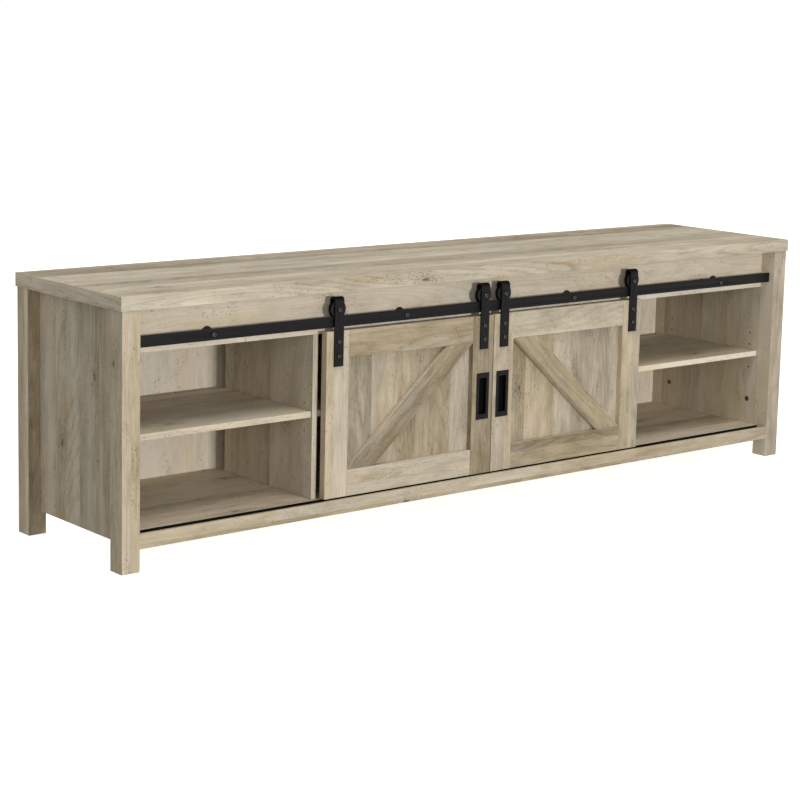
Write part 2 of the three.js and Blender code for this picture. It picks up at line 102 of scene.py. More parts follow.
class Graph:
    """A short way to write a material's nodes: every call returns an output socket."""

    def __init__(self, name):
        self.material = bpy.data.materials.new(name)
        self.material.use_nodes = True
        self.tree = self.material.node_tree
        self.tree.nodes.clear()

    def node(self, kind, inputs=(), **settings):
        made = self.tree.nodes.new("ShaderNode" + kind)
        for key, value in settings.items():
            setattr(made, key, value)
        for key, value in dict(inputs).items():
            self.feed(made.inputs[key], value)
        return made

    def feed(self, socket, value):
        if isinstance(value, bpy.types.NodeSocket):
            self.tree.links.new(value, socket)
        elif value is not None:
            socket.default_value = value

    def math(self, operation, a, b=None, c=None):
        made = self.node("Math", operation=operation)
        for socket, value in zip(made.inputs, (a, b, c)):
            self.feed(socket, value)
        return made.outputs[0]

    def add(self, a, b):
        return self.math("ADD", a, b)

    def times(self, a, b):
        return self.math("MULTIPLY", a, b)

    def total(self, start, *terms):
        """start plus every (socket, factor) term."""
        for socket, factor in terms:
            start = self.math("MULTIPLY_ADD", socket, factor, start)
        return start

    def point(self, x, y, z=0.0):
        return self.node("CombineXYZ", {"X": x, "Y": y, "Z": z}).outputs[0]

    def split(self, vector):
        return self.node("SeparateXYZ", {"Vector": vector}).outputs

    def attribute(self, name):
        return self.node("Attribute", attribute_name=name).outputs["Vector"]

    def noise(self, vector, scale=1.0, detail=2.0, roughness=0.5, distortion=0.0):
        made = self.node("TexNoise", {
            "Vector": vector, "Scale": scale, "Detail": detail,
            "Roughness": roughness, "Distortion": distortion,
        }, noise_dimensions="3D")
        return made.outputs["Fac"]

    def step(self, value, low, high, to_low=0.0, to_high=1.0):
        """A smooth rise from to_low at low to to_high at high."""
        made = self.node("MapRange", {
            "Value": value, "From Min": low, "From Max": high,
            "To Min": to_low, "To Max": to_high,
        }, interpolation_type="SMOOTHSTEP")
        return made.outputs["Result"]

    def ramp(self, value, stops):
        made = self.node("ValToRGB", {"Fac": value})
        elements = made.color_ramp.elements
        while len(elements) < len(stops):
            elements.new(0.5)
        for element, (place, colour) in zip(elements, stops):
            element.position = place
            element.color = colour
        return made.outputs["Color"]

    def mix(self, factor, a, b, blend="MIX"):
        made = self.node("Mix", data_type="RGBA", blend_type=blend)
        made.clamp_factor = True
        for key, value in ((0, factor), (6, a), (7, b)):
            self.feed(made.inputs[key], value)
        return made.outputs[2]

    def finish(self, colour, roughness, height, depth, **constants):
        bump = self.node("Bump", {"Height": height, "Distance": depth, "Strength": 1.0})
        shader = self.node("BsdfPrincipled", {
            "Base Color": colour, "Roughness": roughness, "Normal": bump.outputs["Normal"],
        })
        for key, value in constants.items():
            shader.inputs[key.replace("_", " ")].default_value = value
        output = self.node("OutputMaterial")
        self.tree.links.new(shader.outputs["BSDF"], output.inputs["Surface"])
        return self.material


# ---- Oak-print laminate ------------------------------------------------------

# "grain" holds where a point lies on its printed sheet: metres along the grain,
# metres across it, and a number for the sheet. "board" holds how light the board is made,
# which is partly its print and partly painted light and shade, how strongly it is figured,
# and 1 on a rounded edge.
PLANKS_PER_METRE = 15.0
UMBER = linear(112, 98, 75)
TAN = linear(147, 133, 109)
SAND = linear(172, 159, 138)
CREAM = linear(190, 178, 159)
CHALK = linear(205, 195, 179)
GREY_TINT = linear(160, 154, 139)
OLIVE_TINT = linear(163, 150, 119)
ROSE_TINT = linear(177, 161, 141)
KNOT_BROWN = linear(74, 60, 45)
PORE_BROWN = linear(98, 84, 65)
# The print's tones from dark to pale, and the level at which each is reached.
TONES = ((0.08, UMBER), (0.32, TAN), (0.53, SAND), (0.74, CREAM), (0.98, CHALK))
# Where the tint noise starts and ends each tint, and the most of it that is mixed in.
TINTS = ((0.50, 0.62, 0.55, GREY_TINT), (0.44, 0.34, 0.42, OLIVE_TINT))
PLANK_SPREAD = 0.9  # how uneven the widths of the planks are
PRINT_DEPTH = 0.12 * MM


def oak(name):
    g = Graph(name)
    along, across, sheet = g.split(g.attribute("grain"))
    tone, figure, edge = g.split(g.attribute("board"))

    # The print is made up of planks of uneven width, each with its own figure.
    row = g.total(g.times(across, PLANKS_PER_METRE), (sheet, 5.1))
    plank = g.split(g.node("TexVoronoi", {"W": row, "Scale": 1.0, "Randomness": PLANK_SPREAD},
                           voronoi_dimensions="1D").outputs["Color"])
    blend = g.split(g.node("TexVoronoi", {
        "W": row, "Scale": 1.0, "Randomness": PLANK_SPREAD, "Smoothness": 0.10,
    }, voronoi_dimensions="1D", feature="SMOOTH_F1").outputs["Color"])
    layer = g.total(g.times(sheet, 3.7), (plank[2], 9.0))

    # Knots sit in a few cells of a stretched cell pattern, and the grain bends round them.
    cell = g.node("TexVoronoi", {
        "Vector": g.point(g.times(along, 7.0), g.total(g.times(across, 17.0), (sheet, 3.3))),
        "Scale": 1.0, "Randomness": 1.0,
    }, voronoi_dimensions="2D")
    here = g.step(g.split(cell.outputs["Color"])[0], 0.90, 0.92)
    ragged = g.noise(g.point(g.times(along, 170.0), g.times(across, 320.0), layer), detail=3.0)
    near = g.total(cell.outputs["Distance"], (g.math("SUBTRACT", ragged, 0.5), 0.16))
    knot = g.times(g.step(near, 0.085, 0.02), here)
    halo = g.times(g.step(near, 0.42, 0.03), here)

    # Cathedral figure: level lines of a slow field that is stretched along the grain.
    drift = g.noise(g.point(g.times(along, 3.2), g.times(across, 11.0), layer), detail=2.0)
    bent = g.total(across, (g.math("SUBTRACT", drift, 0.5), 0.018))
    field = g.noise(g.point(g.times(along, 1.3), g.times(bent, 11.0), layer),
                    detail=1.0, roughness=0.35)
    field = g.total(field, (halo, 0.09))
    ring = g.math("FRACT", g.times(field, 26.0))
    late = g.times(g.step(ring, 0.45, 0.90), g.step(ring, 1.0, 0.93))

    # Broad tone, blotches, streaks, fibres and pores, from slow to fine.
    broad = g.noise(g.point(g.times(along, 1.6), g.times(bent, 20.0), layer),
                    detail=3.0, roughness=0.55)
    cloud = g.noise(g.point(g.times(along, 11.0), g.times(across, 24.0), layer),
                    detail=4.0, roughness=0.6)
    streak = g.noise(g.point(g.times(along, 15.0), g.times(bent, 150.0), layer),
                     detail=4.0, roughness=0.62)
    fibre = g.noise(g.point(g.times(along, 34.0), g.times(bent, 600.0), layer),
                    detail=3.0, roughness=0.6)
    open_grain = g.noise(g.point(g.times(along, 6.5), g.times(across, 24.0), g.add(layer, 4.0)),
                         detail=3.0)
    open_grain = g.step(open_grain, 0.46, 0.64)
    pore = g.noise(g.point(g.times(along, 70.0), g.times(bent, 640.0), layer), detail=2.0)
    pore = g.times(g.step(pore, 0.55, 0.68), g.total(0.12, (open_grain, 0.88), (halo, 0.5)))

    # Flecks: short dark specks, a millimetre or two long, most of them in clusters.
    speck = g.node("TexVoronoi", {
        "Vector": g.point(g.times(along, 150.0), g.times(across, 330.0), layer),
        "Scale": 1.0, "Randomness": 1.0,
    }, voronoi_dimensions="2D")
    crowd = g.noise(g.point(g.times(along, 9.0), g.times(across, 26.0), g.add(layer, 2.0)),
                    detail=2.0)
    crowd = g.total(g.step(crowd, 0.50, 0.72, 0.02, 0.30), (halo, 0.55))
    chance = g.split(speck.outputs["Color"])[1]
    fleck = g.times(g.step(speck.outputs["Distance"], 0.42, 0.18),
                    g.step(g.math("SUBTRACT", crowd, chance), 0.0, 0.04))

    # Saw marks: slanted lines across the grain, only in patches.
    sway = g.noise(g.point(g.times(along, 9.0), g.times(across, 9.0), layer), detail=1.0)
    slant = g.total(along, (across, 0.62), (sway, 0.014))
    mark = g.noise(g.point(g.times(slant, 210.0), g.times(across, 12.0), layer), detail=2.0)
    patch = g.noise(g.point(g.times(along, 5.0), g.times(across, 15.0), g.add(layer, 9.0)),
                    detail=2.0)
    saw = g.times(g.step(mark, 0.55, 0.68), g.step(patch, 0.50, 0.66))

    # The board's tone starts the level: it carries painted light and shade as well as the print's
    # own tone.
    level = g.total(
        g.add(tone, 0.5),
        (g.times(g.math("SUBTRACT", broad, 0.5), figure), 0.62),
        (g.times(g.math("SUBTRACT", blend[0], 0.5), figure), 0.22),
        (g.math("SUBTRACT", cloud, 0.5), 0.54),
        (g.math("SUBTRACT", streak, 0.5), 0.28),
        (g.math("SUBTRACT", fibre, 0.5), 0.30),
        (g.times(late, figure), -0.08),
        (saw, -0.08),
        (edge, 0.06),
    )
    colour = g.ramp(level, TONES)

    # Some planks and patches are weathered grey, some olive, some a little pink.
    tint = g.noise(g.point(g.times(along, 2.6), g.times(across, 17.0), g.add(layer, 5.0)),
                   detail=3.0)
    tint = g.total(tint, (g.math("SUBTRACT", blend[1], 0.5), 0.42))
    for start, end, most, shade in TINTS:
        factor = g.step(tint, start, end, 0.0, most)
        colour = g.mix(factor, colour, g.mix(1.0, colour, shade, "COLOR"))
    rosy = g.step(g.total(cloud, (g.math("SUBTRACT", blend[2], 0.5), 0.3)), 0.52, 0.70, 0.0, 0.5)
    colour = g.mix(rosy, colour, g.mix(1.0, colour, ROSE_TINT, "COLOR"))

    colour = g.mix(g.times(pore, 0.34), colour, PORE_BROWN)
    colour = g.mix(g.times(halo, 0.16), colour, PORE_BROWN)
    colour = g.mix(g.times(fleck, 0.55), colour, KNOT_BROWN)
    colour = g.mix(g.times(knot, 0.80), colour, KNOT_BROWN)

    roughness = g.total(0.60, (fibre, 0.12), (pore, 0.10), (late, 0.05), (edge, 0.05))
    height = g.total(0.5, (fibre, 0.35), (streak, 0.35), (pore, -0.8), (fleck, -0.6),
                     (saw, -0.6), (knot, -0.5))
    return g.finish(colour, roughness, height, PRINT_DEPTH, Specular_IOR_Level=0.25)


# ---- Black finishes ----------------------------------------------------------

def black(name, colour, worn, rough, speck, depth, specular):
    """A dark finish with a fine surface, slow changes of tone and rubbed edges. speck is
    how many grains its texture has in a metre, and depth is how deep they are."""
    g = Graph(name)
    place = g.node("TexCoord").outputs["Object"]
    edge = g.split(g.attribute("board"))[2]
    slow = g.noise(place, scale=38.0, detail=3.0)
    fine = g.noise(place, scale=speck, detail=2.0, roughness=0.6)
    scuff = g.noise(place, scale=190.0, detail=4.0, roughness=0.7)
    scuff = g.step(scuff, 0.60, 0.74)
    rub = g.total(g.times(edge, 0.55), (scuff, 0.10), (g.math("SUBTRACT", slow, 0.5), 0.5))
    tint = g.mix(rub, colour, worn)
    roughness = g.total(rough, (g.math("SUBTRACT", slow, 0.5), 0.22),
                        (g.math("SUBTRACT", fine, 0.5), 0.16), (scuff, -0.05))
    height = g.total(fine, (slow, 0.6))
    return g.finish(tint, roughness, height, depth, Specular_IOR_Level=specular)


def screw_metal(name, colour, worn, rough):
    """Bare or browned metal for the small heads and pins."""
    g = Graph(name)
    place = g.node("TexCoord").outputs["Object"]
    slow = g.noise(place, scale=120.0, detail=3.0)
    fine = g.noise(place, scale=1500.0, detail=2.0)
    tint = g.mix(slow, colour, worn)
    roughness = g.total(rough, (g.math("SUBTRACT", slow, 0.5), 0.3))
    return g.finish(tint, roughness, fine, 0.02 * MM, Metallic=1.0)


OAK = oak("oak_print")
STEEL = black("black_powder_coat", linear(16, 14, 15), linear(39, 35, 37),
              0.52, 1500.0, 0.04 * MM, 0.10)
BOLT = black("black_oxide", linear(14, 14, 15), linear(42, 41, 43),
             0.25, 2600.0, 0.02 * MM, 0.45)
NYLON = black("black_nylon", linear(12, 12, 13), linear(28, 28, 29),
              0.42, 1100.0, 0.02 * MM, 0.15)
MATT_BLACK = black("black_plastic", linear(8, 8, 9), linear(20, 20, 21),
                   0.62, 900.0, 0.03 * MM, 0.15)
# A near-black that stands in for the shade inside the pulls' cups: painted shade.
PAINTED_SHADE_BLACK = black("black_painted_recess_shade", linear(3, 3, 3), linear(8, 8, 8),
                   0.75, 900.0, 0.02 * MM, 0.05)
BRONZE = screw_metal("browned_steel", linear(92, 83, 70), linear(126, 114, 97), 0.5)
NICKEL = screw_metal("nickel", linear(150, 147, 140), linear(186, 183, 176), 0.32)

OAK_SLOTS = ("oak_long", "oak_upright", "oak_brace", "back_board")
FINISH_OF_SLOT = {
    "black_steel": STEEL, "black_bolt": BOLT, "wheel_black": NYLON, "channel_black": MATT_BLACK,
}


# ---- Mesh tools --------------------------------------------------------------

WELD = 0.002 * MM
FLAT = math.radians(0.4)
CREASE = math.radians(35.0)  # an outside edge sharper than this gets rounded
SHADE_SHARP = math.radians(32.0)  # an edge sharper than this is shaded as an edge


def copy_of(node):
    """The CAD node's mesh as a bmesh, welded and with its flat faces joined up."""
    bm = bmesh.new()
    bm.from_mesh(frame["nodes"][node].data)
    bmesh.ops.remove_doubles(bm, verts=bm.verts, dist=WELD)
    bmesh.ops.dissolve_limit(bm, angle_limit=FLAT, verts=bm.verts, edges=bm.edges)
    return bm


def soften(bm, width, segments=2):
    """Rounds every outside edge and returns the faces that makes."""
    sharp = [e for e in bm.edges
             if len(e.link_faces) == 2 and e.is_convex and e.calc_face_angle() > CREASE]
    made = bmesh.ops.bevel(bm, geom=sharp, offset=width, offset_type="OFFSET", segments=segments,
                           profile=0.5, affect="EDGES", clamp_overlap=True)
    return made["faces"]


def place_piece(bm, name, body, finish, smooth=False):
    """Turns a bmesh into a piece with its finish, riding on its body."""
    mesh = bpy.data.meshes.new(name)
    bm.to_mesh(mesh)
    bm.free()
    mesh.materials.append(finish)
    mesh.polygons.foreach_set("use_smooth", [smooth] * len(mesh.polygons))
    if smooth:
        mesh.set_sharp_from_angle(angle=SHADE_SHARP)
    piece = bpy.data.objects.new(name, mesh)
    bpy.context.scene.collection.objects.link(piece)
    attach(piece, body)
    return piece


def mark_edges(bm, faces):
    """Writes the "board" numbers for a piece that isn't oak: only the edge counts."""
    layer = bm.loops.layers.float_vector.new("board")
    for face in faces:
        for loop in face.loops:
            loop[layer] = Vector((0.0, 0.0, 1.0))


def extent(bm, direction):
    """How far a mesh reaches from end to end along a direction."""
    reach = [v.co.dot(direction) for v in bm.verts]
    return max(reach) - min(reach)


SHEET_SIZE = 40.0  # a board's print starts somewhere on a sheet of this many metres
SHEETS = 60.0
SHEET_STEP = 7.31  # between the sheets on a board's three pairs of sides
FRONT_STEP = 3.17  # between the two sides of a pair
FACING = 0.85  # the least cosine at which a face counts as facing a direction


def lay_grain(bm, name, frame_axes, edge_faces, tone, figure, sides=()):
    """Lays a printed sheet on each side of a board. frame_axes are the directions along
    the grain, across it and through the board. sides lists the directions in which the
    board's faces are made lighter or darker, mostly as painted light and shade, and by how much."""
    grain = bm.loops.layers.float_vector.new("grain")
    board = bm.loops.layers.float_vector.new("board")
    dice = random.Random("oak " + name)
    start = Vector((dice.uniform(0.0, SHEET_SIZE), dice.uniform(0.0, SHEET_SIZE)))
    sheet = dice.uniform(0.0, SHEETS)
    along, across, through = frame_axes
    wide = extent(bm, across) >= extent(bm, through)
    end_long, end_short = (across, through) if wide else (through, across)
    rounded = set(edge_faces)
    bm.normal_update()
    for face in bm.faces:
        facing = [face.normal.dot(axis) for axis in frame_axes]
        side = max(range(3), key=lambda i: abs(facing[i]))
        front = facing[side] > 0.0
        u, v = ((end_long, end_short), (along, through), (along, across))[side]
        number = sheet + SHEET_STEP * side + (FRONT_STEP if front else 0.0)
        rim = 1.0 if face in rounded else 0.0
        # A face turned to one of the sides' directions gets its lift: mostly painted light and
        # shade.
        shade = tone + sum(lift for way, lift in sides if face.normal.dot(Vector(way)) > FACING)
        for loop in face.loops:
            place = loop.vert.co
            loop[grain] = Vector((start.x + place.dot(u), start.y + place.dot(v), number))
            loop[board] = Vector((shade, figure, rim))


# ---- Boards ------------------------------------------------------------------

X, Y, Z = Vector((1.0, 0.0, 0.0)), Vector((0.0, 1.0, 0.0)), Vector((0.0, 0.0, 1.0))
BOARD_EDGE = 0.7 * MM
THIN_EDGE = 0.3 * MM
BRACE_RUN = 68.0 * MM  # the part of a brace's box along X that its own width takes up
# How much lighter or darker a board is made than the rest, and how strongly it is figured.
# The tones are partly painted light and shade: the back panel, shelves, bottom panel and
# dividers inside the bays, the header under the top's overhang and the top itself are made
# paler as painted light, and the doors are made darker as a whole as painted shade, with
# single door boards set apart as planks of the print. The legs, apron and side panels keep
# about the print's own tone.
LOOK = {
    "top_slab": (0.06, 1.5),
    "header_rail": (0.30, 0.9),
    "apron": (-0.06, 0.9),
    "side_panel": (0.03, 1.2),
    "divider": (0.26, 1.2),
    "leg_rear": (0.10, 0.9),
    "leg": (0.05, 0.9),
    "shelf": (0.31, 1.3),
    "bottom_panel": (0.25, 1.4),
    "back_panel": (0.42, 0.9),
    "door_left_stile_outer": (0.10, 0.9),
    "door_left_stile_inner": (-0.28, 0.9),
    "door_left_rail_bottom": (0.02, 0.9),
    "door_left_brace": (-0.22, 0.9),
    "door_right_rail_top": (0.08, 0.9),
    "door_right_rail_bottom": (-0.24, 0.9),
    "door_right_brace": (-0.20, 0.9),
    "door_right": (-0.06, 0.9),
    "door": (-0.14, 0.9),
}
# Sides of boards that are made paler or darker than the rest. The front edge bands of the
# shelves and dividers are paler in their own right. The others are painted light and shade:
# the faces turned left inside the right end (right side panel, right legs), the side faces of
# the door braces, the left face of the right door's outer stile and the tops of the doors'
# bottom rails are paler as painted light; the front of the rear left leg, where the front leg
# shades it, and the left face of the front left leg are darker as painted shade; the top's
# front face is kept out of the top's painted light, and the front of the right front leg is
# made darker.
SIDE_LIGHT_AND_TONE = (
    ("shelf", (0.0, -1.0, 0.0), 0.05),
    ("divider", (0.0, -1.0, 0.0), 0.10),
    ("side_panel_right", (-1.0, 0.0, 0.0), 0.26),
    ("leg_front_right", (0.0, -1.0, 0.0), -0.14),
    ("leg_front_left", (-1.0, 0.0, 0.0), -0.06),
    ("top_slab", (0.0, -1.0, 0.0), -0.06),
    ("leg_rear_left", (0.0, -1.0, 0.0), -0.30),
    ("leg_front_right", (-1.0, 0.0, 0.0), 0.48),
    ("leg_rear_right", (-1.0, 0.0, 0.0), 0.34),
    ("door_left_brace", (-0.7, 0.0, 0.7), 0.40),
    ("door_right_brace", (-0.7, 0.0, -0.7), 0.20),
    ("door_right_stile_outer", (-1.0, 0.0, 0.0), 0.25),
    ("door_left_rail_bottom", (0.0, 0.0, 1.0), 0.15),
    ("door_right_rail_bottom", (0.0, 0.0, 1.0), 0.15),
)
PLAIN_LOOK = (0.0, 1.0)


def grain_axes(node):
    """The directions along, across and through a board."""
    slot = SLOT_OF[node]
    low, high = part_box(node)
    size = high - low
    if slot == "oak_brace":
        run = size.x - BRACE_RUN
        lean = Vector((-run if "left" in node else run, 0.0, -size.z)).normalized()
        return lean, lean.cross(Y), Y
    along = X if slot == "oak_long" else Z
    others = [axis for axis in (X, Y, Z) if axis != along]
    others.sort(key=lambda axis: size.dot(axis), reverse=True)
    return along, others[0], others[1]


def look_of(node):
    """The tone and figure of the first row of LOOK whose name the node's name begins with."""
    return next((look for start, look in LOOK.items() if node.startswith(start)), PLAIN_LOOK)


def add_board(node):
    """A board with softened edges and its print, in place of its CAD node."""
    bm = copy_of(node)
    rounded = soften(bm, THIN_EDGE if node == "back_panel" else BOARD_EDGE)
    tone, figure = look_of(node)
    sides = [(way, lift) for start, way, lift in SIDE_LIGHT_AND_TONE if node.startswith(start)]
    lay_grain(bm, node, grain_axes(node), rounded, tone, figure, sides)
    piece = place_piece(bm, "fine_" + node, BODY_OF[node], OAK)
    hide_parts(node)


def add_metal(node, width, segments=2, painted_shade_faces=None):
    """A metal piece. The faces that the last argument picks get a near-black as painted shade."""
    bm = copy_of(node)
    mark_edges(bm, soften(bm, width, segments))
    if painted_shade_faces is not None:
        bm.normal_update()
        for face in bm.faces:
            face.material_index = 1 if painted_shade_faces(face) else 0
    slot = SLOT_OF[node]
    piece = place_piece(bm, "fine_" + node, BODY_OF[node], FINISH_OF_SLOT[slot], smooth=True)
    if painted_shade_faces is not None:
        piece.data.materials.append(PAINTED_SHADE_BLACK)
    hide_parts(node)


PULL_LIP = 1.0 * MM


def inside_cup(node):
    """Tells the faces behind the front of a pull's plate from the rest: these get painted shade.
    """
    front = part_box(node)[0].y
    return lambda face: face.calc_center_median().y > front + PULL_LIP


def add_boards_and_metal():
    for node, slot in SLOT_OF.items():
        if slot in OAK_SLOTS:
            add_board(node)
        elif node == "track_bar":
            add_metal(node, 0.8 * MM)
        elif node.startswith("hanger"):
            add_metal(node, 0.5 * MM)
        elif node.startswith("pull"):
            # The inside of a pull's cup gets painted shade.
            add_metal(node, 0.6 * MM, 3, inside_cup(node))
        elif node in ("guide_channel", "centre_foot"):
            add_metal(node, 0.3 * MM)
        elif node.endswith("guide"):
            add_metal(node, 0.5 * MM)


# ---- Turned pieces: bolts, standoffs and wheels ------------------------------

SIDES = 48
SOCKET_HALF = 1.45 * MM  # from the middle of a hex socket to one of its flats
SOCKET_DEPTH = 1.6 * MM
HEX_STEP = math.pi / 3.0
CROWN_STEPS = 6  # rings in the rounded part of a head


def circle(radius, y):
    """Points round the Y axis, at one place along it."""
    return [(radius * math.cos(t), y, radius * math.sin(t))
            for t in (2.0 * math.pi * i / SIDES for i in range(SIDES))]


def hexagon(half, y):
    """Points all round a hexagon, as many as a circle has, so the two can be joined."""
    loop = []
    for i in range(SIDES):
        t = 2.0 * math.pi * i / SIDES
        radius = half / math.cos((t % HEX_STEP) - HEX_STEP / 2.0)
        loop.append((radius * math.cos(t), y, radius * math.sin(t)))
    return loop


def loft(loops, closed=False):
    """A skin through loops of points, capped at both ends or joined into a ring."""
    bm = bmesh.new()
    rings = [[bm.verts.new(p) for p in loop] for loop in loops]
    pairs = list(zip(rings, rings[1:]))
    if closed:
        pairs.append((rings[-1], rings[0]))
    for a, b in pairs:
        for i in range(SIDES):
            j = (i + 1) % SIDES
            bm.faces.new((a[i], a[j], b[j], b[i]))
    if not closed:
        bm.faces.new(rings[0])
        bm.faces.new(rings[-1])
    bmesh.ops.recalc_face_normals(bm, faces=bm.faces)
    return bm


def socket_head(radius, front, back, depth=SOCKET_DEPTH, half=SOCKET_HALF):
    """The loops of a button head with a hex socket, from the socket's floor out."""
    floor = front + depth
    loops = [hexagon(half * 0.92, floor), hexagon(half, floor - 0.1 * MM),
             hexagon(half, front + 0.12 * MM), hexagon(half + 0.15 * MM, front)]
    crown = radius * 0.52
    bulge = back - front - 0.4 * MM
    loops.append(circle(crown, front + 0.02 * MM))
    for i in range(1, CROWN_STEPS + 1):
        t = math.pi / 2.0 * i / CROWN_STEPS
        loops.append(circle(crown + (radius - crown) * math.sin(t),
                            front + bulge * (1.0 - math.cos(t)) + 0.02 * MM))
    loops.append(circle(radius, back - 0.1 * MM))
    loops.append(circle(radius - 0.15 * MM, back))
    return loops


def turned(loops, node, place, closed=False, finish=None):
    """A piece made of loops round its axis, in place of its CAD node."""
    bm = loft(loops, closed)
    bmesh.ops.translate(bm, verts=bm.verts, vec=place)
    mark_edges(bm, [])
    slot = SLOT_OF[node]
    finish = finish or FINISH_OF_SLOT[slot]
    piece = place_piece(bm, "fine_" + node, BODY_OF[node], finish, smooth=True)
    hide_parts(node)


def add_bolt(node, head_radius, shank_radius, head_height, nut_height):
    """A button-head bolt with a lock nut behind."""
    low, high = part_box(node)
    place = Vector(((low.x + high.x) / 2.0, 0.0, (low.z + high.z) / 2.0))
    grip = low.y + head_height
    nut = high.y - nut_height
    half = head_radius * 0.86
    loops = socket_head(head_radius, low.y, grip)
    loops += [circle(shank_radius, grip), circle(shank_radius, nut)]
    loops += [hexagon(half - 0.3 * MM, nut), hexagon(half, nut + 0.2 * MM)]
    loops += [hexagon(half, high.y - nut_height * 0.32)]
    loops += [circle(half * 0.93, high.y - nut_height * 0.28)]
    loops += [circle(half * 0.90, high.y - 0.2 * MM), circle(half * 0.82, high.y)]
    loops += [circle(shank_radius, high.y), circle(shank_radius, high.y - 0.4 * MM)]
    turned(loops, node, place)


def add_standoff(node):
    """The head of the bolt, the sleeve behind the bar and the flange on the header."""
    low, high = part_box(node)
    place = Vector(((low.x + high.x) / 2.0, 0.0, (low.z + high.z) / 2.0))
    bar_low, bar_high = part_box("track_bar")
    header_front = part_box("header_rail")[0].y
    head = 5.0 * MM
    flange = (high.x - low.x) / 2.0
    shank = 2.8 * MM
    sleeve = 5.5 * MM
    gap = 0.3 * MM
    front = bar_low.y - gap
    behind = bar_high.y + gap
    back = header_front - gap
    step = back - 2.5 * MM
    loops = socket_head(head, low.y, front)
    loops += [circle(shank, front), circle(shank, behind)]
    loops += [circle(sleeve - 0.4 * MM, behind), circle(sleeve, behind + 0.4 * MM)]
    loops += [circle(sleeve, step - 1.2 * MM), circle(sleeve + 0.35 * MM, step - 0.35 * MM)]
    loops += [circle(sleeve + 1.2 * MM, step), circle(flange - 1.6 * MM, step + 0.25 * MM)]
    loops += [circle(flange - 0.5 * MM, step + 0.8 * MM), circle(flange, step + 1.6 * MM)]
    loops += [circle(flange, back - 0.2 * MM), circle(flange - 0.2 * MM, back)]
    loops += [circle(shank, back), circle(shank, high.y)]
    turned(loops, node, place, finish=BOLT)


WHEEL_ROOT = 13.8 * MM
WHEEL_HALF_GROOVE = 2.9 * MM
WHEEL_BORE = 3.4 * MM


def add_wheel(node):
    """A grooved wheel with a dished face and a hub."""
    low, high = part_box(node)
    place = (low + high) / 2.0
    rim = (high.z - low.z) / 2.0
    half = (high.y - low.y) / 2.0
    dish = 0.9 * MM
    side = [(WHEEL_BORE, half), (7.0 * MM, half), (7.4 * MM, half - 0.3 * MM),
            (7.6 * MM, half - dish), (11.6 * MM, half - dish), (11.9 * MM, half - 0.4 * MM),
            (12.3 * MM, half), (rim - 0.8 * MM, half), (rim - 0.25 * MM, half - 0.2 * MM),
            (rim, half - 0.7 * MM), (rim, WHEEL_HALF_GROOVE + 0.6 * MM),
            (rim - 0.3 * MM, WHEEL_HALF_GROOVE + 0.35 * MM),
            (WHEEL_ROOT + 0.4 * MM, WHEEL_HALF_GROOVE + 0.05 * MM),
            (WHEEL_ROOT, WHEEL_HALF_GROOVE - 0.3 * MM)]
    profile = side + [(radius, -y) for radius, y in reversed(side)]
    loops = [circle(radius, y) for radius, y in profile]
    turned(loops, node, place, closed=True)


# Radius of the head and of the shank, height of the head and of the nut.
AXLE_BOLT = (5.0 * MM, 3.0 * MM, 2.3 * MM, 3.7 * MM)
STRAP_BOLT = (4.6 * MM, 2.5 * MM, 2.1 * MM, 2.2 * MM)


def add_turned():
    for node in SLOT_OF:
        if node.startswith("axle_bolt"):
            add_bolt(node, *AXLE_BOLT)
        elif node.startswith("strap_bolt"):
            add_bolt(node, *STRAP_BOLT)
        elif node.startswith("track_standoff"):
            add_standoff(node)
        elif node.startswith("wheel"):
            add_wheel(node)


# ---- Small fittings ----------------------------------------------------------

PIN_RADIUS = 2.35 * MM
PIN_REACH = 7.5 * MM
PIN_COLUMN = 123.5 * MM
PIN_DROP = 2.5 * MM  # from the underside of a shelf to the middle of a pin
SHELF_GAP = 1.0 * MM


def turned_along_x(loops, place, side):
    """A skin through loops made round Y, turned to point along X, side being 1 or -1."""
    bm = loft([[(side * y, x, z) for x, y, z in loop] for loop in loops])
    bmesh.ops.translate(bm, verts=bm.verts, vec=place)
    return bm


def join_into(target, source):
    """Adds one bmesh to another and frees it."""
    mesh = bpy.data.meshes.new("part")
    source.to_mesh(mesh)
    source.free()
    target.from_mesh(mesh)
    bpy.data.meshes.remove(mesh)


def add_shelf_pins():
    """Four pins under each shelf, in the holes of the boards on either side."""
    profile = [
        (PIN_RADIUS - 0.4 * MM, -6.5 * MM), (PIN_RADIUS, -6.1 * MM), (PIN_RADIUS, 0.15 * MM),
        (3.6 * MM, 0.15 * MM), (3.7 * MM, 0.3 * MM), (3.6 * MM, 0.8 * MM), (PIN_RADIUS, 0.9 * MM),
        (PIN_RADIUS, PIN_REACH - 0.5 * MM), (PIN_RADIUS - 0.5 * MM, PIN_REACH),
    ]
    loops = [circle(radius, reach) for radius, reach in profile]
    for shelf in ("left", "centre", "right"):
        low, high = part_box("shelf_" + shelf)
        pins = bmesh.new()
        for x, side in ((low.x - SHELF_GAP, 1.0), (high.x + SHELF_GAP, -1.0)):
            for y in (-PIN_COLUMN, PIN_COLUMN):
                place = Vector((x, y, low.z - PIN_DROP))
                join_into(pins, turned_along_x(loops, place, side))
        mark_edges(pins, [])
        place_piece(pins, "shelf_pins_" + shelf, "cabinet", NICKEL, smooth=True)


PANEL_SCREW_RADIUS = 5.8 * MM
PANEL_SCREW_SOCKET = 2.0 * MM
PANEL_SCREW_SOCKET_DEPTH = 0.9 * MM
PANEL_SCREW_PROUD = 1.2 * MM
PANEL_SCREW_SHANK = 2.0 * MM
PANEL_SCREW_REACH = 3.0 * MM
PANEL_SCREW_COLUMN = 124.5 * MM
PANEL_SCREW_HEIGHT = 127.5 * MM


